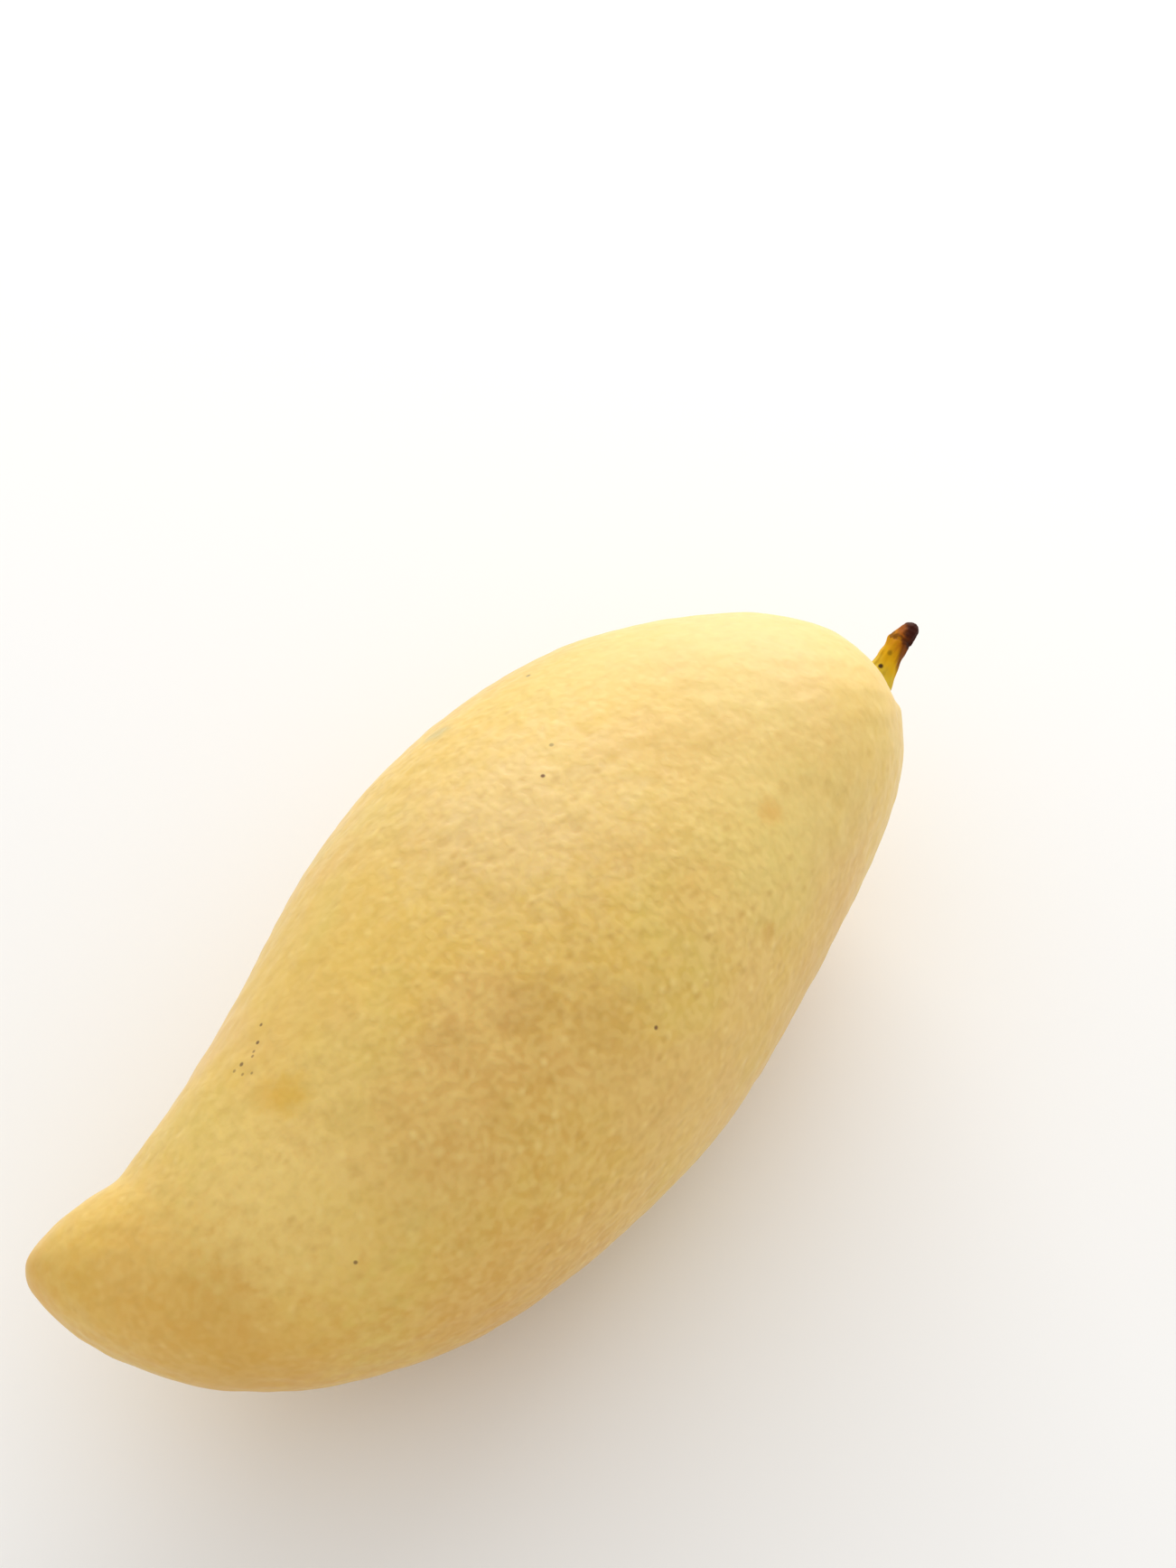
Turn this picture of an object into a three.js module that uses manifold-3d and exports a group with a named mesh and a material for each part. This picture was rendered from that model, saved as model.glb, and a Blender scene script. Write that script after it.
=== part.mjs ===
// A ripe long mango lying on one cheek, with its stem.
// Millimetres, +Z up. +X runs to the stem end and -X to the beak. +Y is the belly side,
// with the hollow called the sinus above the beak, and -Y is the back.
// The origin is on the small flat spot where the lower cheek rests.
import * as THREE from "three";
import { mergeVertices } from "three/addons/utils/BufferGeometryUtils.js";
import Module from "manifold-3d";

// Driving dimensions of the fruit.
const FRUIT_LENGTH = 160; // beak to stem end
const FRUIT_WIDTH = 81; // back to belly
const FRUIT_THICKNESS = 65; // cheek to cheek, before the rest flat is taken off
const REST_FLAT_DEPTH = 0.45; // how much of the lower cheek is pressed flat

// Driving dimensions of the stem. Its foot sits in a shallow round seat in the fruit.
const STEM_DIAMETER = 3.6;
const STEM_FOOT_DIAMETER = 5.6;
const STEM_FOOT_FLARE = 2.6; // how far the foot tapers into the shaft
const STEM_KNUCKLE_DIAMETER = 3.8; // the swollen ring where the fruit's own stalk began
const STEM_TIP_DIAMETER = 2.4; // the dried end
const STEM_REACH = 11.8; // how far the stem stands out from the fruit
const STEM_RISE = 4.2; // how far it steps sideways on the way
const STEM_EARLY_BEND = 0.3; // share of the reach that is first pulled straight out
const STEM_LEAN = 52; // degrees from +Y up to the side it steps to
const STEM_KNUCKLE_PLACE = 0.66; // where the knuckle is, as a share of the free stem
const SEAT_DEPTH = 1.4;
const SEAT_CLEARANCE = 0.3; // between the stem's foot and its seat

// Ribs of the fruit from beak to stem end. Each has its place along the length, the edge of
// the back and of the belly, and half the thickness at the cheeks. The numbers are shares
// of one shape, which is scaled to the driving dimensions.
const RIBS = [
  { along: 0.0, back: 0.04, belly: 0.04, cheek: 0.0 }, // end of the beak
  { along: 0.015, back: -0.14, belly: 0.09, cheek: 0.13 },
  { along: 0.07, back: -0.35, belly: 0.11, cheek: 0.21 },
  { along: 0.12, back: -0.44, belly: 0.08, cheek: 0.27 }, // sinus
  { along: 0.15, back: -0.49, belly: 0.12, cheek: 0.31 },
  { along: 0.2, back: -0.54, belly: 0.17, cheek: 0.37 },
  { along: 0.3, back: -0.61, belly: 0.26, cheek: 0.46 },
  { along: 0.44, back: -0.61, belly: 0.48, cheek: 0.53 },
  { along: 0.6, back: -0.55, belly: 0.58, cheek: 0.55 },
  { along: 0.76, back: -0.39, belly: 0.58, cheek: 0.49 },
  { along: 0.89, back: -0.23, belly: 0.43, cheek: 0.4 }, // shoulders
  { along: 0.98, back: -0.1, belly: 0.28, cheek: 0.26 },
  { along: 1.0, back: 0.1, belly: 0.1, cheek: 0.0 }, // stem end
];
const FULLNESS = 0.03; // how much fuller than an ellipse a rib is between its quarters
const BELLY_THINNING = 0.06; // how much thinner the belly side is than the back

// Facets round and along the fruit, round and along the stem.
const FRUIT_AROUND = 56;
const FRUIT_ALONG = 48;
const STEM_AROUND = 20;
const STEM_ALONG = 18;
const SEAT_AROUND = 32;

const wasm = await Module();
wasm.setup();

// A closed geometry as a solid that can be cut.
function solidOf(geometry) {
  const bare = geometry.clone();
  bare.deleteAttribute("normal");
  bare.deleteAttribute("uv");
  const merged = mergeVertices(bare);
  return new wasm.Manifold(
    new wasm.Mesh({
      numProp: 3,
      vertProperties: merged.attributes.position.array,
      triVerts: new Uint32Array(merged.index.array),
    }),
  );
}

// A solid as a geometry with smooth normals.
function geometryOf(solid) {
  const { vertProperties, triVerts } = solid.getMesh();
  const geometry = new THREE.BufferGeometry();
  geometry.setAttribute("position", new THREE.BufferAttribute(vertProperties, 3));
  geometry.setIndex(new THREE.BufferAttribute(triVerts, 1));
  geometry.computeVertexNormals();
  return geometry;
}

// A rib seen from beyond the end of the fruit: it has crossed to the other side, so that the
// surface closes round the end.
function crossed({ along, back, belly, cheek }) {
  return { along, back: belly, belly: back, cheek: -cheek };
}

// The rib at a share of the way from beak to stem end: a uniform cubic B-spline of the ribs.
function ribAt(share) {
  const ribs = [crossed(RIBS.at(1)), ...RIBS, crossed(RIBS.at(-2))];
  const place = share * (RIBS.length - 1);
  const first = Math.min(Math.floor(place), RIBS.length - 2);
  const t = place - first;
  const weights = [
    (1 - t) ** 3 / 6,
    (3 * t ** 3 - 6 * t ** 2 + 4) / 6,
    (-3 * t ** 3 + 3 * t ** 2 + 3 * t + 1) / 6,
    t ** 3 / 6,
  ];
  const blend = (key) =>
    weights.reduce((sum, weight, i) => sum + weight * ribs[first + i][key], 0);
  return Object.fromEntries(["along", "back", "belly", "cheek"].map((key) => [key, blend(key)]));
}

// The whole outside of the fruit: a sphere with each of its points carried to the ribs. Its
// poles become the beak and the stem end. It ends up resting at the origin, sunk by the
// depth of the rest flat.
function fruitSkin() {
  const skin = new THREE.SphereGeometry(1, FRUIT_AROUND, FRUIT_ALONG);
  const points = skin.attributes.position;
  const point = new THREE.Vector3();
  for (let i = 0; i < points.count; i++) {
    point.fromBufferAttribute(points, i);
    const rib = ribAt(Math.acos(THREE.MathUtils.clamp(-point.y, -1, 1)) / Math.PI);
    const angle = Math.atan2(point.x, point.z);
    const full = 1 + (FULLNESS * (1 - Math.cos(4 * angle))) / 2;
    const thin = 1 - BELLY_THINNING * Math.cos(angle);
    point.set(
      rib.along,
      (rib.belly + rib.back) / 2 + ((rib.belly - rib.back) / 2) * full * Math.cos(angle),
      rib.cheek * full * thin * Math.sin(angle),
    );
    points.setXYZ(i, ...point);
  }
  skin.computeBoundingBox();
  const size = skin.boundingBox.getSize(new THREE.Vector3());
  skin.scale(FRUIT_LENGTH / size.x, FRUIT_WIDTH / size.y, FRUIT_THICKNESS / size.z);

  const lowest = new THREE.Vector3(0, 0, Infinity);
  for (let i = 0; i < points.count; i++) {
    point.fromBufferAttribute(points, i);
    if (point.z < lowest.z) lowest.copy(point);
  }
  return skin.translate(-lowest.x, -lowest.y, -lowest.z - REST_FLAT_DEPTH);
}

// The fruit: its outside, cut flat where it rests and bored for the foot of the stem.
function fruitGeometry(skin, stemRoot) {
  const below = new THREE.BoxGeometry(2 * FRUIT_LENGTH, 2 * FRUIT_WIDTH, FRUIT_THICKNESS);
  below.translate(0, 0, -FRUIT_THICKNESS / 2);
  const seatRadius = STEM_FOOT_DIAMETER / 2 + SEAT_CLEARANCE;
  const seat = new THREE.CylinderGeometry(seatRadius, seatRadius, 2 * SEAT_DEPTH, SEAT_AROUND);
  seat.rotateZ(-Math.PI / 2).translate(stemRoot.x, stemRoot.y, stemRoot.z);
  return geometryOf(solidOf(skin).subtract(solidOf(below)).subtract(solidOf(seat)));
}

// The stem: a turned profile with a flared foot, a knuckle and a dried end, bent along a
// centreline that leaves the fruit at right angles and steps to one side. It stands on its
// own origin, along +X, and steps towards +Y.
function stemGeometry() {
  const sunk = SEAT_DEPTH - SEAT_CLEARANCE;
  const centreline = new THREE.CurvePath();
  centreline.add(new THREE.LineCurve3(new THREE.Vector3(), new THREE.Vector3(sunk, 0, 0)));
  centreline.add(
    new THREE.CubicBezierCurve3(
      new THREE.Vector3(sunk, 0, 0),
      new THREE.Vector3(sunk + STEM_EARLY_BEND * STEM_REACH, 0, 0),
      new THREE.Vector3(sunk + STEM_REACH / 2, STEM_RISE, 0),
      new THREE.Vector3(sunk + STEM_REACH, STEM_RISE, 0),
    ),
  );
  const length = centreline.getLength();
  const knuckle = sunk + STEM_KNUCKLE_PLACE * (length - sunk);
  const flank = new THREE.SplineCurve([
    new THREE.Vector2(STEM_FOOT_DIAMETER / 2, sunk),
    new THREE.Vector2(STEM_DIAMETER / 2, sunk + STEM_FOOT_FLARE),
    new THREE.Vector2(STEM_DIAMETER / 2, knuckle - STEM_DIAMETER / 2),
    new THREE.Vector2(STEM_KNUCKLE_DIAMETER / 2, knuckle),
    new THREE.Vector2(STEM_DIAMETER / 2, knuckle + STEM_DIAMETER / 3),
    new THREE.Vector2(STEM_TIP_DIAMETER / 2, length),
  ]);
  const stem = new THREE.LatheGeometry(
    [
      new THREE.Vector2(0, 0),
      new THREE.Vector2(STEM_FOOT_DIAMETER / 2, 0),
      ...flank.getPoints(STEM_ALONG),
      new THREE.Vector2(0, length),
    ],
    STEM_AROUND,
  );
  const points = stem.attributes.position;
  const point = new THREE.Vector3();
  for (let i = 0; i < points.count; i++) {
    point.fromBufferAttribute(points, i);
    const share = THREE.MathUtils.clamp(point.y / length, 0, 1);
    const centre = centreline.getPointAt(share);
    const ahead = centreline.getTangentAt(share);
    points.setXYZ(i, centre.x - ahead.y * point.x, centre.y + ahead.x * point.x, -point.z);
  }
  return geometryOf(solidOf(stem));
}

const skin = fruitSkin();
const stemRoot = new THREE.Vector3().fromBufferAttribute(skin.attributes.position, 0);

const fruit = new THREE.Mesh(
  fruitGeometry(skin, stemRoot),
  new THREE.MeshStandardMaterial({ color: "#dcb866", roughness: 0.62, metalness: 0 }),
);
fruit.name = "fruit";

const stem = new THREE.Mesh(
  stemGeometry(),
  new THREE.MeshStandardMaterial({ color: "#a9741f", roughness: 0.7, metalness: 0 }),
);
stem.name = "stem";
stem.position.set(stemRoot.x - SEAT_DEPTH + SEAT_CLEARANCE, stemRoot.y, stemRoot.z);
stem.rotation.x = THREE.MathUtils.degToRad(STEM_LEAN);

const mango = new THREE.Group();
mango.add(fruit, stem);

export default mango;
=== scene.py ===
"""The looks of a ripe long mango that lies on one cheek, with its short dried stem.

The fruit is one surface of skin and the stem is another. Each is a formula of two
parameters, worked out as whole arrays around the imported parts, and dressed in a
procedural material. Lengths in the classes are millimetres, and meshes are metres.
"""

import logging
import math
from dataclasses import dataclass, field
from typing import Any

import bpy
import numpy as np
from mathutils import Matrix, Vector


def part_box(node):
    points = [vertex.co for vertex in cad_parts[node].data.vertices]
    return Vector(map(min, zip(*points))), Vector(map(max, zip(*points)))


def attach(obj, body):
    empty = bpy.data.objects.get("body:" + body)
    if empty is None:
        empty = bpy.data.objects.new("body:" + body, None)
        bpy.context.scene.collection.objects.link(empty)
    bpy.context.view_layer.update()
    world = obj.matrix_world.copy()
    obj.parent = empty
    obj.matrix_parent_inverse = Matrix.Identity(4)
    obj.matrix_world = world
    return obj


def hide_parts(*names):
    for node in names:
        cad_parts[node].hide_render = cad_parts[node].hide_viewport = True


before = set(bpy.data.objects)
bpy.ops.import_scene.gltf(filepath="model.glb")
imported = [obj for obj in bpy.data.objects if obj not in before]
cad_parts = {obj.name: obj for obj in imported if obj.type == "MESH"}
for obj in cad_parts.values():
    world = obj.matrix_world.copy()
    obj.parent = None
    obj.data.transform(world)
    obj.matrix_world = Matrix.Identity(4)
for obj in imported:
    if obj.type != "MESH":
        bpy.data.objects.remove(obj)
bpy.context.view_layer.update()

Array = np.ndarray
Socket = bpy.types.NodeSocket
Inputs = dict[str | int, Any]

MM = 0.001
CURVE_SAMPLES = 600  # points along a curve whose length is measured
# Socket numbers of the Mix node when it mixes colours.
FACTOR, LOWER, UPPER, MIXED = 0, 6, 7, 2

log = logging.getLogger("mango")


def linear(hex_colour: str) -> tuple[float, float, float, float]:
    """Turns an sRGB hex colour into a linear one.

    Args:
        hex_colour: six hex digits after a hash.

    Returns:
        Linear red, green and blue, and an alpha of one.
    """
    parts = [int(hex_colour[i : i + 2], 16) / 255 for i in (1, 3, 5)]
    red, green, blue = (
        part / 12.92 if part <= 0.04045 else ((part + 0.055) / 1.055) ** 2.4
        for part in parts
    )
    return red, green, blue, 1.0


def add_node(
    tree: bpy.types.NodeTree,
    kind: str,
    inputs: Inputs | None = None,
    settings: dict[str, Any] | None = None,
) -> bpy.types.Node:
    """Adds one node to a tree, sets it up and links it.

    Args:
        tree: the tree that gets the node.
        kind: the node's type, such as "ShaderNodeMath".
        inputs: a value or an output socket for each named or numbered input.
        settings: the node's own properties.

    Returns:
        The new node.
    """
    node = tree.nodes.new(kind)
    for name, value in (settings or {}).items():
        setattr(node, name, value)
    for name, value in (inputs or {}).items():
        if isinstance(value, bpy.types.NodeSocket):
            tree.links.new(value, node.inputs[name])
        else:
            node.inputs[name].default_value = value
    return node


def waves(points: Array, wavelength: float, seed: int, count: int = 40) -> Array:
    """Smooth random relief: a sum of plane waves in random directions.

    Each wave is cos(k . p + phase), with a wavelength within a third of the one that is
    asked for. The sum is divided by the square root of half the count, so that its
    typical size is one.

    Args:
        points: places, with x, y and z last.
        wavelength: the relief's usual width from crest to crest, in the points' unit.
        seed: picks the waves.
        count: how many waves are summed.

    Returns:
        The relief at each point.
    """
    random = np.random.default_rng(seed)
    direction = random.normal(size=(count, 3))
    direction /= np.linalg.norm(direction, axis=1, keepdims=True)
    length = wavelength * random.uniform(0.7, 1.4, count)
    wave = 2 * np.pi * direction / length[:, None]
    phase = random.uniform(0, 2 * np.pi, count)
    return np.cos(points @ wave.T + phase).sum(-1) / math.sqrt(count / 2)


def bell(distance: Array, width: float) -> Array:
    """A round bump: one at no distance, falling as exp(-(distance / width) squared)."""
    return np.exp(-((distance / width) ** 2))


def smooth_step(value: Array, low: float, high: float) -> Array:
    """Zero below low, one above high, and 3 t^2 - 2 t^3 in between."""
    share = np.clip((value - low) / (high - low), 0, 1)
    return share * share * (3 - 2 * share)


def closed_grid_mesh(name: str, rows: Array) -> bpy.types.Object:
    """Makes a closed skin from rings of points between two end points.

    The first and the last row are single points repeated, so they become one vertex
    each. The rings between them are joined by four-sided faces, and the end points by
    fans of triangles.

    Args:
        name: the new piece's name.
        rows: points in millimetres, indexed by row, place round the row, and axis. Seen
            from the last row, the points run anticlockwise.

    Returns:
        The piece, with smooth shading, at the origin.
    """
    count, around, _ = rows.shape
    rings = rows[1:-1].reshape(-1, 3)
    points = np.vstack([rows[0, :1], rings, rows[-1, :1]]) * MM
    here = np.arange(around)
    ahead = (here + 1) % around
    ring = 1 + around * np.arange(count - 3)[:, None]
    quads = np.stack([ring + here, ring + ahead, ring + around + ahead, ring + around + here], -1)
    last = len(points) - 1
    final = last - around
    first_fan = np.stack([np.zeros(around, int), 1 + ahead, 1 + here], -1)
    last_fan = np.stack([np.full(around, last), final + here, final + ahead], -1)
    corners = np.concatenate([quads.ravel(), first_fan.ravel(), last_fan.ravel()])
    totals = np.concatenate([np.full(quads.size // 4, 4), np.full(2 * around, 3)])
    mesh = bpy.data.meshes.new(name)
    mesh.vertices.add(len(points))
    mesh.vertices.foreach_set("co", points.astype(np.float32).ravel())
    mesh.loops.add(len(corners))
    mesh.loops.foreach_set("vertex_index", corners.astype(np.int32))
    mesh.polygons.add(len(totals))
    mesh.polygons.foreach_set("loop_start", np.r_[0, np.cumsum(totals)[:-1]].astype(np.int32))
    mesh.update(calc_edges=True)
    mesh.validate()
    mesh.shade_smooth()
    piece = bpy.data.objects.new(name, mesh)
    bpy.context.scene.collection.objects.link(piece)
    return piece


def millimetre_place(tree: bpy.types.NodeTree) -> Socket:
    """Object coordinates in millimetres."""
    coordinates = add_node(tree, "ShaderNodeTexCoord").outputs["Object"]
    return add_node(
        tree, "ShaderNodeVectorMath", {0: coordinates, "Scale": 1 / MM}, {"operation": "SCALE"}
    ).outputs[0]


def tinted(
    tree: bpy.types.NodeTree, colour: Any, tint: str, strength: Socket, amount: float
) -> Socket:
    """A colour with a tint laid over it, as strong as the strength times the amount."""
    weight = add_node(tree, "ShaderNodeMath", {0: strength, 1: amount}, {"operation": "MULTIPLY"})
    return add_node(
        tree,
        "ShaderNodeMix",
        {FACTOR: weight.outputs[0], LOWER: colour, UPPER: linear(tint)},
        {"data_type": "RGBA"},
    ).outputs[MIXED]


@dataclass(frozen=True)
class Clouds:
    """Soft irregular patches of one tint."""

    tint: str
    size: float  # mm from patch to patch
    amount: float
    low: float = 0.45  # noise value where a patch starts
    high: float = 0.65  # noise value where it is full
    detail: float = 2.0
    height: float = 0.0  # mm that a full patch stands proud

    def strength(self, tree: bpy.types.NodeTree, place: Socket, shift: float) -> Socket:
        """Adds the nodes that say how strong the patches are at each place.

        Args:
            tree: the skin's node tree.
            place: Object coordinates in millimetres.
            shift: moves the pattern, so that no two layers are alike.

        Returns:
            The strength, from zero to one.
        """
        shifted = add_node(tree, "ShaderNodeVectorMath", {0: place, 1: (shift,) * 3}).outputs[0]
        noise = add_node(
            tree,
            "ShaderNodeTexNoise",
            {"Vector": shifted, "Scale": 1 / self.size, "Detail": self.detail},
        ).outputs[0]
        return add_node(
            tree,
            "ShaderNodeMapRange",
            {"Value": noise, "From Min": self.low, "From Max": self.high},
            {"interpolation_type": "SMOOTHSTEP"},
        ).outputs[0]


@dataclass(frozen=True)
class Dots:
    """Scattered dots of one tint, each a low bump or a shallow pit."""

    tint: str
    spacing: float  # mm from dot to dot
    radius: float
    amount: float
    height: float = 0.0  # mm at the dot's middle, negative for a pit
    stretch: float = 1.0  # how much longer a dot is along the fruit than across it

    def strength(self, tree: bpy.types.NodeTree, place: Socket, shift: float) -> Socket:
        """Adds the nodes that say how strong the dots are at each place.

        Each cell has one dot, and its own chance number says how strong that dot gets.

        Args:
            tree: the skin's node tree.
            place: Object coordinates in millimetres.
            shift: moves the pattern, so that no two layers are alike.

        Returns:
            The strength, from zero to one.
        """
        squeezed = add_node(
            tree,
            "ShaderNodeMapping",
            {"Vector": place, "Location": (shift,) * 3, "Scale": (1 / self.stretch, 1, 1)},
        ).outputs[0]
        cells = add_node(
            tree, "ShaderNodeTexVoronoi", {"Vector": squeezed, "Scale": 1 / self.spacing}
        )
        chance = add_node(tree, "ShaderNodeSeparateColor", {0: cells.outputs["Color"]}).outputs[0]
        dot = add_node(
            tree,
            "ShaderNodeMapRange",
            {
                "Value": cells.outputs["Distance"],
                "From Min": self.radius / self.spacing,
                "From Max": 0.0,
            },
            {"interpolation_type": "SMOOTHSTEP"},
        ).outputs[0]
        return add_node(
            tree, "ShaderNodeMath", {0: dot, 1: chance}, {"operation": "MULTIPLY"}
        ).outputs[0]


@dataclass(frozen=True)
class Smudge:
    """A soft stain round one place, broken up at its edge."""

    along: float  # share of the ribs from beak to stem end, or mm along the stem
    angle: float  # degrees round the rib from the belly over the upper cheek, or round the stem
    radius: float
    tint: str
    amount: float
    softness: float = 0.9  # share of the radius over which it fades
    raggedness: float = 0.5  # how far its edge wanders, as a share of the radius
    grain: float = 2.22  # mm from one bay of the edge to the next
    height: float = 0.0

    def strength(self, tree: bpy.types.NodeTree, place: Socket, centre: Array) -> Socket:
        """Adds the nodes that say how strong the smudge is at each place.

        Args:
            tree: the node tree of the skin or the bark.
            place: Object coordinates in millimetres.
            centre: the smudge's middle, in millimetres.

        Returns:
            The strength, from zero to one.
        """
        wander = add_node(
            tree, "ShaderNodeTexNoise", {"Vector": place, "Scale": 1 / self.grain, "Detail": 3}
        ).outputs[0]
        far = add_node(
            tree, "ShaderNodeVectorMath", {0: place, 1: tuple(centre)}, {"operation": "DISTANCE"}
        ).outputs["Value"]
        edge = add_node(
            tree,
            "ShaderNodeMath",
            {0: wander, 1: -2 * self.raggedness * self.radius, 2: far},
            {"operation": "MULTIPLY_ADD"},
        ).outputs[0]
        outer = self.radius * (1 - self.raggedness)
        inner = outer - self.softness * self.radius
        return add_node(
            tree,
            "ShaderNodeMapRange",
            {"Value": edge, "From Min": outer, "From Max": inner},
            {"interpolation_type": "SMOOTHSTEP"},
        ).outputs[0]


@dataclass(frozen=True)
class Coarseness:
    """A stretch of skin whose fine relief is fainter or stronger than elsewhere."""

    along: float  # share of the ribs from beak to stem end
    angle: float  # degrees round the rib
    reach: float  # mm from its middle to where it ends
    share: float  # how strong the relief is in its middle, beside one elsewhere

    def strength(self, tree: bpy.types.NodeTree, place: Socket, centre: Array) -> Socket:
        """Adds the nodes that say how strong the fine relief is at each place.

        Args:
            tree: the skin's node tree.
            place: Object coordinates in millimetres.
            centre: the middle of the stretch, in millimetres.

        Returns:
            The strength, from the share in the middle to one.
        """
        far = add_node(
            tree, "ShaderNodeVectorMath", {0: place, 1: tuple(centre)}, {"operation": "DISTANCE"}
        ).outputs["Value"]
        return add_node(
            tree,
            "ShaderNodeMapRange",
            {"Value": far, "From Max": self.reach, "To Min": self.share},
            {"interpolation_type": "SMOOTHSTEP"},
        ).outputs[0]


@dataclass(frozen=True)
class Dent:
    """A small round dent in the skin, or a lip where its depth is negative."""

    along: float  # share of the ribs from beak to stem end
    angle: float  # degrees round the rib
    depth: float
    radius: float


@dataclass(frozen=True)
class MangoSkin:
    """Ripe mango skin: a tight waxy cuticle, grown, with a fine bloom of wax.

    It looks pale yellow and satin to matt. Clouds of peach, straw and ochre lie over it,
    with pale breathing pores, ochre dimples and a few brown flecks. The pale shoulder and the
    pale tops of pebbles and pores are partly painted highlight, and the dimples partly painted
    shade.
    """

    base: str = "#e0b955"
    layers: tuple[Clouds | Dots | Smudge, ...] = (
        Clouds("#e2b76c", 23, 0.5, 0.44, 0.62, 2),  # peach
        Clouds("#d5bd5e", 17, 0.38, 0.48, 0.66, 3),  # green straw
        Clouds("#cf9a40", 29, 0.3, 0.5, 0.68, 3),  # ochre
        Smudge(0.85, 60, 48, "#e6ca86", 0.5, 1.0, 0.2),  # pale shoulder: partly paler wax bloom, partly a painted highlight
        Smudge(0.76, 130, 24, "#e9d482", 0.55, 1.0, 0.3),
        Smudge(0.65, 80, 27, "#e8cb92", 0.5),
        Smudge(0.58, 122, 30, "#cf984a", 0.45, 1.0, 0.3),
        Smudge(0.37, 104, 26, "#f2d078", 0.85),
        Smudge(0.2, 176, 32, "#cf941c", 0.6),
        Smudge(0.52, 195, 42, "#cf9624", 0.7),
        Smudge(0.74, 190, 28, "#d3a038", 0.6),
        Smudge(0.14, 100, 24, "#e4ae44", 0.4, 1.0, 0.3),
        Clouds("#e9c570", 4.2, 0.24, 0.42, 0.7, 2, 0.005),  # pale mottle
        Clouds("#c49c42", 2.6, 0.22, 0.45, 0.72, 2, -0.005),  # ochre mottle
        Clouds("#f1d07a", 1.25, 0.24, 0.3, 0.72, 0, 0.038),  # pebbles, their raised tops paler: partly painted highlight
        Dots("#f3d582", 2.3, 1.0, 0.45, 0.045),  # pale pores, raised: pale lenticels, partly painted highlight on their tops
        Dots("#c2923a", 1.9, 0.8, 0.36, -0.026, 1.7),  # ochre dimples: darker pits, partly painted shade beside the bumps
        Dots("#a87e38", 6.3, 0.4, 0.25, -0.01),  # brown pores
        Smudge(0.462, 79, 5.0, "#d9a826", 0.65),
        Smudge(0.45, 72, 4.0, "#d9a42a", 0.35),
        Smudge(0.24, 124, 10, "#c8902c", 0.25),
        Smudge(0.591, 112, 7.5, "#b98a3c", 0.3),
        Smudge(0.55, 104, 6.0, "#b98a3c", 0.25),
        Smudge(0.754, 125, 3.2, "#dca038", 0.5),
        Smudge(0.719, 146, 2.4, "#c9932c", 0.5),
        Smudge(0.62, 128, 9.0, "#c09040", 0.25),
        Smudge(0.66, 41, 3.4, "#a9a069", 0.5),
        Smudge(0.0, 60, 12.0, "#dd9f1c", 0.5, 1.0),  # beak
        Smudge(1.0, 0, 12.0, "#cfa244", 0.6, 0.9, 0.3),  # round the stem
        Smudge(1.0, 0, 4.6, "#4e2a0a", 0.9, 0.25, 0.35),  # scar at its foot
    )
    flecks: tuple[Smudge, ...] = (
        Smudge(0.672, 78, 0.5, "#7a5220", 1.0, 0.6, 0.2),
        Smudge(0.64, 138, 0.5, "#7a5220", 0.95, 0.6, 0.2),
        Smudge(0.428, 134, 0.45, "#6b4a20", 0.8, 0.6, 0.2),
        Smudge(0.687, 73, 0.5, "#8a7438", 0.7, 0.6, 0.2),
        Smudge(0.713, 46, 0.5, "#8a7438", 0.8, 0.6, 0.2),
        Smudge(0.483, 54, 0.4, "#6b4a20", 0.8, 0.6, 0.2),
        Smudge(0.473, 57, 0.4, "#6b4a20", 0.9, 0.6, 0.2),
        Smudge(0.467, 58, 0.35, "#7b5a28", 0.7, 0.6, 0.2),
        Smudge(0.464, 59, 0.35, "#7b5a28", 0.7, 0.6, 0.2),
        Smudge(0.455, 57, 0.45, "#6b4a20", 0.8, 0.6, 0.2),
        Smudge(0.45, 60, 0.4, "#7b5a28", 0.6, 0.6, 0.2),
        Smudge(0.448, 56, 0.35, "#7b5a28", 0.6, 0.6, 0.2),
        Smudge(0.455, 63, 0.35, "#7b5a28", 0.6, 0.6, 0.2),
    )
    coarseness: tuple[Coarseness, ...] = (
        Coarseness(0.84, 55, 62, 0.5),  # shoulder
        Coarseness(0.5, 30, 46, 0.5),  # belly
        Coarseness(0.03, 60, 26, 0.6),  # beak
        Coarseness(0.3, 205, 52, 0.3),  # back, beside the beak
        Coarseness(0.72, 192, 42, 0.4),  # back
        Coarseness(0.58, 116, 34, 1.35),  # upper cheek
        Coarseness(0.7, 138, 30, 1.6),
        Coarseness(0.4, 125, 28, 1.3),
    )
    layer_shift: float = 31.0  # mm from one layer's pattern to the next, so that none repeats
    roughness: float = 0.5


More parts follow.
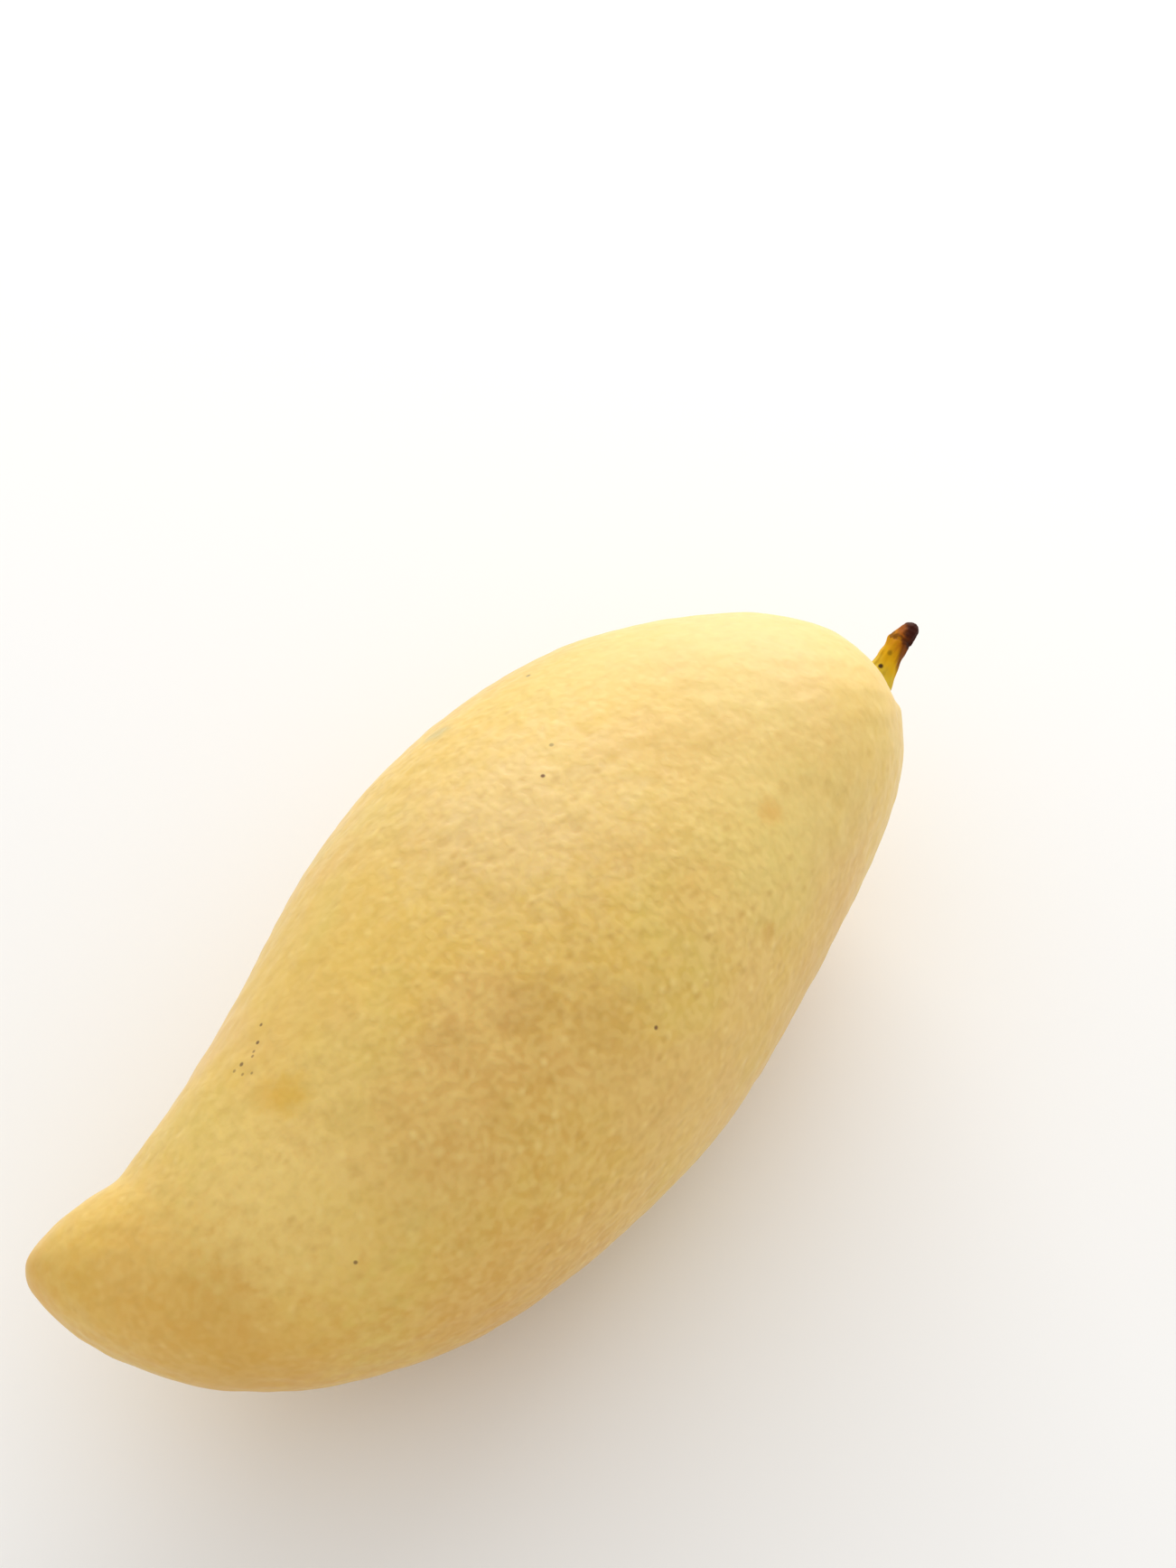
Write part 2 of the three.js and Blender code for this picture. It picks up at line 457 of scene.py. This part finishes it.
@dataclass
class Fruit:
    """The fruit's skin: one closed surface with the rest flat and the stem's hollow.

    Its length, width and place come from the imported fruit. The ribs are shares of one
    shape: place along the fruit, edge of the back, edge of the belly, half thickness.
    """

    low: Vector
    high: Vector
    ribs: tuple[tuple[float, float, float, float], ...] = (
        (0.0, 0.04, 0.04, 0.0),  # end of the beak
        (0.015, -0.14, 0.09, 0.13),
        (0.07, -0.35, 0.11, 0.21),
        (0.12, -0.44, 0.08, 0.27),  # sinus
        (0.15, -0.49, 0.12, 0.31),
        (0.2, -0.54, 0.17, 0.37),
        (0.3, -0.61, 0.26, 0.46),
        (0.44, -0.61, 0.48, 0.53),
        (0.6, -0.55, 0.58, 0.55),
        (0.76, -0.39, 0.58, 0.49),
        (0.89, -0.23, 0.43, 0.4),  # shoulders
        (0.98, -0.1, 0.28, 0.26),
        (1.0, 0.1, 0.1, 0.0),  # stem end
    )
    fullness: float = 0.03
    belly_thinning: float = 0.06
    rest_flat_depth: float = 0.45
    rows: int = 290
    around: int = 328
    hollow_depth: float = 1.0  # of the dip round the stem
    hollow_width: float = 4.5
    swelling_height: float = 0.3  # of the low ring round the dip
    swelling_reach: float = 11.0  # from the stem to the middle of the ring
    swelling_width: float = 5.0
    fold_count: int = 5  # faint folds that run out from the stem
    fold_height: float = 0.25
    fold_turn: float = 0.6  # radians that the first fold is turned by
    fold_reach: float = 7.0
    fold_width: float = 4.0
    calm_from: float = 2.0  # mm from the stem where lumps and ripples begin
    calm_to: float = 9.0  # and where they are full
    dents: tuple[Dent, ...] = (
        Dent(0.938, 135, 1.2, 1.8),  # nick in the shoulder, beside the stem
        Dent(0.93, 144, -0.5, 1.8),  # lip below it
        Dent(0.86, 44, -0.5, 12.0),  # fullness of the shoulder
        Dent(0.3, 22, -0.6, 5.0),  # lips of the sinus
        Dent(0.215, 24, -0.5, 6.0),
        Dent(0.262, 34, 0.3, 4.0),  # fold between them
    )
    lump_height: float = 0.1
    lump_sizes: tuple[float, float] = (42.0, 17.0)  # mm from crest to crest, long and short
    short_lump_share: float = 0.4  # height of the short lumps beside the long ones
    ripple_height: float = 0.035
    ripple_size: float = 4.2
    finish: MangoSkin = field(default_factory=MangoSkin)

    def ribs_at(self, share: Array) -> Array:
        """The rib at each share of the way, as a uniform cubic B-spline of the ribs.

        Beyond each end the next rib is repeated with its back and belly exchanged and
        its cheek negative, so that the surface closes round the end.

        Args:
            share: places from 0 at the beak to 1 at the stem end, counted in ribs.

        Returns:
            Place along, back edge, belly edge and half thickness for each share.
        """
        ribs = np.array(self.ribs)
        crossed = ribs[[1, -2]][:, [0, 2, 1, 3]] * [1, 1, 1, -1]
        ribs = np.vstack([crossed[:1], ribs, crossed[1:]])
        place = share * (len(self.ribs) - 1)
        first = np.minimum(place.astype(int), len(self.ribs) - 2)
        t = (place - first)[:, None]
        return (
            (1 - t) ** 3 * ribs[first]
            + (3 * t**3 - 6 * t**2 + 4) * ribs[first + 1]
            + (-3 * t**3 + 3 * t**2 + 3 * t + 1) * ribs[first + 2]
            + t**3 * ribs[first + 3]
        ) / 6

    def shape(self, share: Array, angle: Array) -> Array:
        """The fruit's plain form, in the shares that the ribs are given in.

        A rib is middle + half width * full * cos(angle) across and cheek * full * thin *
        sin(angle) up. Full is 1 + fullness * (1 - cos(4 angle)) / 2, which squares the
        rib a little, and thin is 1 - belly_thinning * cos(angle).

        Args:
            share: places from beak to stem end, one for each row.
            angle: places round a rib, from the belly over the upper cheek.

        Returns:
            Points indexed by row, place round the row, and axis.
        """
        along, back, belly, cheek = self.ribs_at(share).T[:, :, None]
        full = 1 + self.fullness * (1 - np.cos(4 * angle)) / 2
        thin = 1 - self.belly_thinning * np.cos(angle)
        across = (belly + back) / 2 + (belly - back) / 2 * full * np.cos(angle)
        up = cheek * full * thin * np.sin(angle)
        return np.stack([along + 0 * across, across, up], -1)

    def fitted(self, points: Array) -> Array:
        """Plain points scaled and moved, in millimetres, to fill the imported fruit's box.

        The box's underside is the rest flat, which lies rest_flat_depth above the
        lowest point of the plain form.

        Args:
            points: points in the shares that the ribs are given in, with the axis last.

        Returns:
            The same points in millimetres.
        """
        fine = self.shape(np.linspace(0, 1, 400), np.linspace(0, 2 * np.pi, 360, endpoint=False))
        lowest, highest = fine.min((0, 1)), fine.max((0, 1))
        low = np.array(self.low) / MM - [0, 0, self.rest_flat_depth]
        high = np.array(self.high) / MM
        return low + (points - lowest) / (highest - lowest) * (high - low)

    def even_shares(self) -> Array:
        """Row places that are the same distance apart along the upper cheek.

        Returns:
            A share of the way from beak to stem end for each row.
        """
        share = np.linspace(0, 1, 2000)
        spine = self.fitted(self.shape(share, np.array([np.pi / 2])))[:, 0]
        step = np.linalg.norm(np.diff(spine, axis=0), axis=1)
        distance = np.r_[0, np.cumsum(step)]
        return np.interp(np.linspace(0, distance[-1], self.rows), distance, share)

    def stem_root(self) -> Array:
        """The point of the plain skin where the stem grows, in millimetres."""
        return self.fitted(self.shape(np.array([1.0]), np.array([0.0])))[0, 0]

    def point(self, along: float, angle: float) -> Array:
        """The plain skin's point at one place, in millimetres; angle is in degrees."""
        return self.fitted(self.shape(np.array([along]), np.radians([angle])))[0, 0]

    def surface(self) -> Array:
        """The skin with all its relief, in millimetres.

        Relief is measured along the outward normal. It is long lumps and short ripples,
        and round the stem a bell-shaped dip inside a low ring of swelling with five
        faint folds. The dents are bells too. Last, what lies below the rest flat is lifted
        to it.

        Returns:
            Points indexed by row, place round the row, and axis.
        """
        angle = np.linspace(0, 2 * np.pi, self.around, endpoint=False)
        plain = self.fitted(self.shape(self.even_shares(), angle))
        along_step = np.gradient(plain, axis=0)
        around_step = np.roll(plain, -1, 1) - np.roll(plain, 1, 1)
        outward = np.cross(around_step, along_step)
        outward[0], outward[-1] = [-1, 0, 0], [1, 0, 0]
        outward /= np.linalg.norm(outward, axis=-1, keepdims=True)

        offset = plain - self.stem_root()
        reach = np.linalg.norm(offset, axis=-1)
        turn = np.arctan2(offset[..., 2], offset[..., 1])
        folds = self.fold_height * np.cos(self.fold_count * turn + self.fold_turn)
        folds = folds * bell(reach - self.fold_reach, self.fold_width)
        swelling = self.swelling_height * bell(reach - self.swelling_reach, self.swelling_width)
        hollow = self.hollow_depth * bell(reach, self.hollow_width)
        away = smooth_step(reach, self.calm_from, self.calm_to)
        long, short = self.lump_sizes
        lumps = waves(plain, long, seed=3) + self.short_lump_share * waves(plain, short, seed=5)
        ripples = self.ripple_height * waves(plain, self.ripple_size, seed=8, count=60)
        relief = away * (self.lump_height * lumps + ripples + folds) + swelling - hollow
        for dent in self.dents:
            distance = np.linalg.norm(plain - self.point(dent.along, dent.angle), axis=-1)
            relief -= dent.depth * bell(distance, dent.radius)
        points = plain + relief[..., None] * outward
        points[..., 2] = np.maximum(points[..., 2], 0)
        points[0], points[-1] = points[0].mean(0), points[-1].mean(0)
        return points

    def build(self) -> bpy.types.Object:
        """Makes the skin and dresses it.

        Returns:
            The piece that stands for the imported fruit.
        """
        skin = closed_grid_mesh("mango_skin", self.surface())
        skin.data.materials.append(self.material())
        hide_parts("fruit")
        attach(skin, "root")
        return skin

    def material(self) -> bpy.types.Material:
        """Ripe mango skin, from the finish's colours and sizes.

        Each layer gives a strength from zero to one. The strengths lay their tints over
        the base colour, one after another, and add up their heights. The coarseness makes
        the layers that have a height fainter or stronger.

        Returns:
            The skin's material.
        """
        finish = self.finish
        material = bpy.data.materials.new("waxy_mango_skin")
        material.use_nodes = True
        tree = material.node_tree
        tree.nodes.clear()
        place = millimetre_place(tree)
        coarse: Any = 1.0
        for stretch in finish.coarseness:
            share = stretch.strength(tree, place, self.point(stretch.along, stretch.angle))
            coarse = add_node(
                tree, "ShaderNodeMath", {0: coarse, 1: share}, {"operation": "MULTIPLY"}
            ).outputs[0]

        colour: Any = linear(finish.base)
        height: Any = 0.0
        for number, layer in enumerate(finish.layers + finish.flecks):
            if isinstance(layer, Smudge):
                strength = layer.strength(tree, place, self.point(layer.along, layer.angle))
            else:
                strength = layer.strength(tree, place, finish.layer_shift * number)
            if layer.height:
                strength = add_node(
                    tree, "ShaderNodeMath", {0: strength, 1: coarse}, {"operation": "MULTIPLY"}
                ).outputs[0]
                height = add_node(
                    tree,
                    "ShaderNodeMath",
                    {0: strength, 1: layer.height, 2: height},
                    {"operation": "MULTIPLY_ADD"},
                ).outputs[0]
            colour = tinted(tree, colour, layer.tint, strength, layer.amount)
        bump = add_node(tree, "ShaderNodeBump", {"Height": height, "Strength": 1.0, "Distance": MM})
        shader = add_node(
            tree,
            "ShaderNodeBsdfPrincipled",
            {
                "Base Color": colour,
                "Roughness": finish.roughness,
                "IOR": 1.45,
                "Specular IOR Level": 0.5,
                "Subsurface Weight": 0.12,
                "Subsurface Radius": (1.0, 0.55, 0.15),
                "Subsurface Scale": 2.0 * MM,
                "Sheen Weight": 0.16,
                "Sheen Roughness": 0.45,
                "Normal": bump.outputs[0],
            },
        )
        add_node(tree, "ShaderNodeOutputMaterial", {"Surface": shader.outputs[0]})
        return material


@dataclass(frozen=True)
class DriedStalk:
    """A picked fruit stalk: thin green-gold bark below, and dried brown pith at the end.

    It looks satin, streaked along its fibres, with dark scars and a nearly black end.
    Its dark crease and one dark flank are partly painted shade.
    """

    foot: str = "#d0b638"
    shaft: str = "#d8a60a"
    neck: str = "#c07c08"
    cap: str = "#9a5206"
    end: str = "#330a01"
    drying_and_shade: str = "#6b3206"  # darker fibre streaks, and one flank that is partly dried bark and partly painted shade
    # the crease's dark line: partly scar, partly painted shade
    scar_and_crease_shade: str = "#3a1605"
    spots: tuple[Smudge, ...] = (
        Smudge(3.65, 40, 0.62, "#2a0d04", 0.95, 0.6, 0.2),  # scar near the foot
        Smudge(6.2, 45, 0.6, "#6b5206", 0.6, 0.8, 0.3),
        Smudge(8.9, 110, 0.9, "#2a0d04", 0.7, 0.8, 0.3),  # painted shade on the crease's darker side, partly scar
        Smudge(9.0, 145, 0.9, "#2a0d04", 0.7, 0.8, 0.3),
    )
    # Real fibres are about 0.1 mm apart. They are drawn coarser, so that they show.
    fibre: float = 0.5  # mm from one fibre to the next
    fibre_slowness: float = 0.12  # how slowly the streaks change along the stem
    fibre_relief: float = 0.06
    blotch: float = 1.25  # mm from one patch of uneven drying to the next
    blotch_reach: float = 1.2  # mm that a patch dries ahead of or behind the rest
    drying_and_shade_lead: float = 1.2  # mm that the tints are ahead on the darker side, which is partly dried and partly painted shade
    shaded_flank_widening: float = 0.14  # how much wider the flank of painted shade gets for each mm outwards
    roughness: float = 0.65


@dataclass
class Stem:
    """The stalk: a flared foot in the fruit, a shaft, a crease, a knuckle and a dry end.

    Angles round the stem are in degrees from the side it steps to, and lengths along it
    are in millimetres from where it leaves the fruit.
    """

    root: Array
    diameter: float = 3.6
    foot_diameter: float = 6.0
    foot_flare: float = 3.4
    knuckle_diameter: float = 3.6
    tip_diameter: float = 2.4
    reach: float = 11.8
    rise: float = 4.2
    early_bend: float = 0.3  # share of the reach that is first pulled straight out
    lean: float = 52.0
    sunk: float = 1.6
    crease: float = 8.9  # where the shaft ends and the knuckle starts
    crease_depth: float = 0.2
    # the darker side, partly dried and partly painted shade; the crease is deepest there
    drying_and_shade_side: float = 134.0
    nub_side: float = -40.0
    end_rounding: float = 1.5
    swelling_rise: float = 0.7  # past the crease, where the knuckle is at its widest
    swelling_fall: tuple[float, float] = (1.2, 3.5)  # past the crease, where it narrows again
    crease_width: float = 0.28
    crease_wander: float = 0.35  # how far the crease strays along the stem
    nub_height: float = 0.3
    nub_back: float = 0.5  # before the crease
    nub_length: float = 0.6
    nub_spread: float = 0.5  # radians
    rib_heights: tuple[float, float] = (0.035, 0.02)  # of the 7 coarse and the 12 fine ribs
    ring_height: float = 0.025
    ring_spacing: float = 0.95
    grain_height: float = 0.045
    grain_size: float = 1.1
    grain_stretch: float = 0.45  # how slowly the grain changes along the stem
    bark_radius: float = 1.7  # of the cylinder that the grain and the fibres are laid on
    end_crowding: float = 0.12  # how much the rows crowd together towards the end
    rows: int = 190
    around: int = 112
    finish: DriedStalk = field(default_factory=DriedStalk)

    def centreline(self, length: Array) -> tuple[Array, Array]:
        """Points and directions along the stem's centreline, in its own plane.

        It starts straight, sunk in the fruit, and goes on as a cubic Bezier curve. The
        curve's second corner lies early_bend of the way out, at the foot's height, and its
        third half way out, at the tip's.

        Args:
            length: places along the centreline.

        Returns:
            Points and unit directions, both indexed by place and axis.
        """
        t = np.linspace(0, 1, CURVE_SAMPLES)[:, None]
        soon, half = self.early_bend * self.reach, self.reach / 2
        corners = np.array([[0, 0], [soon, 0], [half, self.rise], [self.reach, self.rise]])
        curve = (
            (1 - t) ** 3 * corners[0]
            + 3 * (1 - t) ** 2 * t * corners[1]
            + 3 * (1 - t) * t**2 * corners[2]
            + t**3 * corners[3]
        )
        path = np.vstack([[-self.sunk, 0], curve])
        distance = np.r_[0, np.cumsum(np.linalg.norm(np.diff(path, axis=0), axis=1))] - self.sunk
        points = np.stack([np.interp(length, distance, path[:, axis]) for axis in (0, 1)], -1)
        step = 0.05
        ahead = np.stack(
            [
                np.interp(length + step, distance, path[:, axis])
                - np.interp(length - step, distance, path[:, axis])
                for axis in (0, 1)
            ],
            -1,
        )
        return points, ahead / np.linalg.norm(ahead, axis=1, keepdims=True)

    def full_length(self) -> float:
        """Measures the centreline.

        Returns:
            Its length outside the fruit, in millimetres.
        """
        t = np.linspace(0, 1, CURVE_SAMPLES)
        along = 3 * (1 - t) ** 2 * t * self.early_bend + 3 * (1 - t) * t**2 * 0.5 + t**3
        up = 3 * (1 - t) * t**2 + t**3
        return float(np.hypot(np.diff(along) * self.reach, np.diff(up) * self.rise).sum())

    def radius(self, length: Array, turn: Array) -> Array:
        """The stem's radius at places along it and round it.

        The shaft has a bell-shaped flare at the foot, a narrow crease that is deepest on
        the darker side (partly dried, partly painted shade), a swelling just past it, and
        a slow taper that ends in a quarter ellipse. Long ribs, rings of shrinkage near the
        end, a nub beside the crease and random roughness lie on top.

        Args:
            length: places along the stem.
            turn: angles round it, in radians.

        Returns:
            The radius at each place and angle.
        """
        end = self.full_length()
        past = length - self.crease
        flare = bell(np.maximum(length, 0), self.foot_flare)
        radius = (self.diameter + (self.foot_diameter - self.diameter) * flare) / 2 + 0 * turn
        swelling = (self.knuckle_diameter - self.diameter) / 2
        narrowing = smooth_step(past, *self.swelling_fall)
        radius += swelling * smooth_step(past, 0, self.swelling_rise) * (1 - narrowing)
        taper = (self.diameter - self.tip_diameter) / 2
        radius -= taper * smooth_step(past, -0.5, end - self.crease)
        toward = np.cos(turn - math.radians(self.drying_and_shade_side))
        wander = self.crease_wander * np.sin(2 * turn + 1.0)
        crease = bell(past + wander, self.crease_width)
        radius -= self.crease_depth * (0.6 + 0.4 * toward) * crease
        off_nub = np.angle(np.exp(1j * (turn - math.radians(self.nub_side))))
        nub = bell(past + self.nub_back, self.nub_length) * bell(off_nub, self.nub_spread)
        radius += self.nub_height * nub
        coarse, fine = self.rib_heights
        ribs = coarse * np.cos(7 * turn + 0.5 + 0.12 * length)
        ribs = ribs + fine * np.cos(12 * turn - 0.2 * length)
        rings = np.cos(2 * np.pi * (past + wander) / self.ring_spacing)
        rings = self.ring_height * rings * smooth_step(past, 0.6, 2.0)
        bark = self.bark_place(length, turn, self.grain_stretch)
        grain = self.grain_height * waves(bark, self.grain_size, seed=21, count=50)
        left = np.clip((end - length) / self.end_rounding, 0, 1)
        return (radius + ribs + rings + grain) * np.sqrt(1 - (1 - left) ** 2)

    def bark_place(self, length: Array, turn: Array, stretch: float) -> Array:
        """Places on a plain cylinder of bark, on which streaks and grain are laid.

        Args:
            length: places along the stem.
            turn: angles round it, in radians.
            stretch: how fast a pattern changes along the stem, beside round it.

        Returns:
            Points indexed by place along, place round, and axis.
        """
        across = self.bark_radius * np.cos(turn) + 0 * length
        up = self.bark_radius * np.sin(turn) + 0 * length
        return np.stack([across, up, stretch * length + 0 * turn], -1)

    def place(self, length: Array, turn: Array, radius: Array) -> Array:
        """Points at a distance from the centreline, in millimetres.

        Args:
            length: places along the centreline, one for each row.
            turn: angles round it, in radians.
            radius: distances from it, indexed by row and angle.

        Returns:
            Points indexed by row, angle, and axis.
        """
        lean = math.radians(self.lean)
        out_way = np.array([1.0, 0, 0])
        rise_way = np.array([0, math.cos(lean), math.sin(lean)])
        side_way = np.array([0, -math.sin(lean), math.cos(lean)])
        points, ahead = self.centreline(length)
        centre = points[:, :1] * out_way + points[:, 1:] * rise_way
        upward = -ahead[:, 1:] * out_way + ahead[:, :1] * rise_way
        ring = radius[..., None] * (
            np.cos(turn)[..., None] * upward[:, None] + np.sin(turn)[..., None] * side_way
        )
        return self.root + centre[:, None] + ring

    def point(self, length: float, turn: float) -> Array:
        """One point of the bark."""
        places, turns = np.array([[length]]), np.radians([[turn]])
        return self.place(places[0], turns, self.radius(places, turns))[0, 0]

    def build(self) -> bpy.types.Object:
        """Makes the stem and dresses it.

        Its rows crowd together towards the rounded end. Each vertex keeps its length and
        its fibre coordinates, which run slowly along the stem and fast round it.

        Returns:
            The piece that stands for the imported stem.
        """
        end = self.full_length()
        share = np.linspace(0, 1, self.rows)
        crowded = share + self.end_crowding * np.sin(np.pi * share) * share
        length = -self.sunk + (end + self.sunk) * crowded
        length = np.minimum(length, end)[:, None]
        turn = np.linspace(0, 2 * np.pi, self.around, endpoint=False)[None, :]
        radius = self.radius(length, turn)
        radius[0] = 0
        points = self.place(length[:, 0], turn, radius)
        stem = closed_grid_mesh("dried_stem", points)
        along = np.broadcast_to(length, radius.shape)
        fibre = self.bark_place(length, turn, self.finish.fibre_slowness)
        drying_and_shade = np.cos(turn - math.radians(self.drying_and_shade_side)) + 0 * length
        for name, kind, key, values in (
            ("along", "FLOAT", "value", along),
            ("drying_and_shade", "FLOAT", "value", drying_and_shade),
            ("fibre", "FLOAT_VECTOR", "vector", fibre),
        ):
            rings = values[1:-1].reshape(-1, *values.shape[2:])
            kept = np.concatenate([values[0, :1], rings, values[-1, :1]])
            layer = stem.data.attributes.new(name, kind, "POINT")
            layer.data.foreach_set(key, kept.astype(np.float32).ravel())
        stem.data.materials.append(self.material())
        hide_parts("stem")
        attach(stem, "root")
        return stem

    def material(self) -> bpy.types.Material:
        """Green-gold bark that turns to dried brown pith, streaked along its fibres.

        Each tint comes in smoothly along the stem, sooner on the darker side, which is
        partly dried and partly painted shade. Streaks, a flank of painted shade, the crease
        with its partly painted shade, and a few scars then darken the bark.

        Returns:
            The stem's material.
        """
        finish = self.finish
        material = bpy.data.materials.new("dried_stalk")
        material.use_nodes = True
        tree = material.node_tree
        tree.nodes.clear()
        along, drying_and_shade, fibre = (
            add_node(tree, "ShaderNodeAttribute", settings={"attribute_name": name})
            for name in ("along", "drying_and_shade", "fibre")
        )
        place = millimetre_place(tree)
        streaks = add_node(
            tree,
            "ShaderNodeTexNoise",
            {"Vector": fibre.outputs["Vector"], "Scale": 1 / finish.fibre, "Detail": 3},
        ).outputs[0]
        blotches = add_node(
            tree,
            "ShaderNodeTexNoise",
            {"Vector": place, "Scale": 1 / finish.blotch, "Detail": 3},
        ).outputs[0]
        wander = add_node(
            tree,
            "ShaderNodeMath",
            {0: blotches, 1: 2 * finish.blotch_reach, 2: -finish.blotch_reach},
            {"operation": "MULTIPLY_ADD"},
        ).outputs[0]
        wandered = add_node(
            tree, "ShaderNodeMath", {0: wander, 1: along.outputs["Fac"]}
        ).outputs[0]
        # The tints arrive sooner on the darker side: partly drying, partly painted shade.
        sooner = add_node(
            tree,
            "ShaderNodeMath",
            {0: drying_and_shade.outputs["Fac"], 1: finish.drying_and_shade_lead, 2: wandered},
            {"operation": "MULTIPLY_ADD"},
        ).outputs[0]
        # Painted shade on one flank, widening outwards, in the dried bark's colour.
        shaded_flank = add_node(
            tree,
            "ShaderNodeMath",
            {0: along.outputs["Fac"], 1: finish.shaded_flank_widening, 2: drying_and_shade.outputs["Fac"]},
            {"operation": "MULTIPLY_ADD"},
        ).outputs[0]
        past_crease = add_node(
            tree, "ShaderNodeMath", {0: wandered, 1: self.crease}, {"operation": "SUBTRACT"}
        ).outputs[0]
        off_crease = add_node(
            tree, "ShaderNodeMath", {0: past_crease}, {"operation": "ABSOLUTE"}
        ).outputs[0]

        end = self.full_length()
        colour: Any = linear(finish.foot)
        # Each tint: what it follows, where it starts, where it is full, and how strong it is.
        for tint, source, start, full, amount in (
            (finish.shaft, sooner, 1.5, 6.0, 1.0),
            (finish.neck, sooner, 5.0, self.crease, 1.0),
            (finish.cap, sooner, self.crease - 0.6, self.crease + 0.6, 1.0),
            (finish.drying_and_shade, streaks, 0.5, 0.75, 0.25),
            # painted shade on one flank, partly drying
            (finish.drying_and_shade, shaded_flank, 1.45, 1.8, 0.85),
            (finish.end, sooner, end - 3.4, end - 1.8, 0.95),
            # dark line along the crease: partly scar, partly painted shade
            (finish.scar_and_crease_shade, off_crease, 0.6, 0.2, 0.6),
        ):
            strength = add_node(
                tree,
                "ShaderNodeMapRange",
                {"Value": source, "From Min": start, "From Max": full},
                {"interpolation_type": "SMOOTHSTEP"},
            ).outputs[0]
            colour = tinted(tree, colour, tint, strength, amount)
        for spot in finish.spots:
            strength = spot.strength(tree, place, self.point(spot.along, spot.angle))
            colour = tinted(tree, colour, spot.tint, strength, spot.amount)
        bump = add_node(
            tree,
            "ShaderNodeBump",
            {"Height": streaks, "Strength": 1.0, "Distance": finish.fibre_relief * MM},
        )
        shader = add_node(
            tree,
            "ShaderNodeBsdfPrincipled",
            {
                "Base Color": colour,
                "Roughness": finish.roughness,
                "Specular IOR Level": 0.1,
                "Normal": bump.outputs[0],
            },
        )
        add_node(tree, "ShaderNodeOutputMaterial", {"Surface": shader.outputs[0]})
        return material


@dataclass
class Studio:
    """A pale floor, soft lights and the camera.

    Angles are in degrees, the camera's distances in millimetres, and the light's and the
    floor's sizes in metres.
    """

    centre: Vector
    azimuth: float = -38.0
    elevation: float = 58.0
    lens: float = 85.0
    distance: float = 549.4
    side: float = 14.3  # how far right of the fruit's middle the camera looks
    up: float = 31.6  # how far above it
    key_azimuth: float = 40.0  # from +X towards +Y
    key_distance: float = 1.1
    key_height: float = 0.4
    key_width: float = 1.3
    key_gap: float = 0.04  # between the floor and the light's lower edge
    key_power: float = 12.9  # W
    sky: float = 0.8
    floor_half: float = 2.5
    paper: str = "#f4f3f1"

    def build(self) -> None:
        """Makes the floor, the lights and the camera."""
        self.floor()
        self.lights()
        self.camera()

    def floor(self) -> None:
        """A wide matt floor just under the fruit."""
        half = self.floor_half
        corners = [(-half, -half, 0), (half, -half, 0), (half, half, 0), (-half, half, 0)]
        mesh = bpy.data.meshes.new("floor")
        mesh.from_pydata(corners, [], [(0, 1, 2, 3)])
        floor = bpy.data.objects.new("floor", mesh)
        bpy.context.scene.collection.objects.link(floor)
        material = bpy.data.materials.new("pale_paper")
        material.use_nodes = True
        shader = material.node_tree.nodes["Principled BSDF"]
        shader.inputs["Base Color"].default_value = linear(self.paper)
        shader.inputs["Roughness"].default_value = 0.9
        floor.data.materials.append(material)

    def aim(self, thing: bpy.types.Object, at: Vector, target: Vector) -> None:
        """Puts a light or the camera at a point, looking at another.

        Args:
            thing: the light or the camera.
            at: where it goes, in metres.
            target: what it looks at, in metres.
        """
        thing.location = at
        thing.rotation_euler = (target - at).to_track_quat("-Z", "Y").to_euler()
        bpy.context.scene.collection.objects.link(thing)

    def lights(self) -> None:
        """A wide soft light low behind the fruit, and a pale sky all round."""
        azimuth = math.radians(self.key_azimuth)
        place = self.centre + Vector((math.cos(azimuth), math.sin(azimuth), 0)) * self.key_distance
        place.z = self.key_height
        light = bpy.data.lights.new("window", "AREA")
        light.shape = "RECTANGLE"
        light.size, light.size_y = self.key_width, 2 * (self.key_height - self.key_gap)
        light.energy = self.key_power
        self.aim(bpy.data.objects.new("window", light), place, self.centre)
        world = bpy.data.worlds.new("sky")
        world.use_nodes = True
        background = world.node_tree.nodes["Background"]
        background.inputs["Color"].default_value = linear("#ffffff")
        background.inputs["Strength"].default_value = self.sky
        bpy.context.scene.world = world

    def camera(self) -> None:
        """The camera: its place in the picture keeps the fruit low and to the left."""
        azimuth, elevation = math.radians(self.azimuth), math.radians(self.elevation)
        back = Vector(
            (
                math.sin(azimuth) * math.cos(elevation),
                -math.cos(azimuth) * math.cos(elevation),
                math.sin(elevation),
            )
        )
        right = Vector((math.cos(azimuth), math.sin(azimuth), 0))
        target = self.centre + (right * self.side + back.cross(right) * self.up) * MM
        camera = bpy.data.cameras.new("camera")
        camera.lens = self.lens
        camera.sensor_width = 36
        holder = bpy.data.objects.new("camera", camera)
        self.aim(holder, target + back * self.distance * MM, target)
        bpy.context.scene.camera = holder


def main() -> None:
    """Builds the fruit, the stem and the studio."""
    logging.basicConfig(level=logging.INFO, format="%(name)s: %(message)s")
    low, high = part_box("fruit")
    fruit = Fruit(low, high)
    stem = Stem(fruit.stem_root())
    for part in (fruit, stem):
        piece = part.build()
        log.info("%s has %d faces", piece.name, len(piece.data.polygons))
    Studio((low + high) / 2).build()
    bpy.context.scene.view_settings.view_transform = "Standard"


if __name__ == "__main__":
    main()
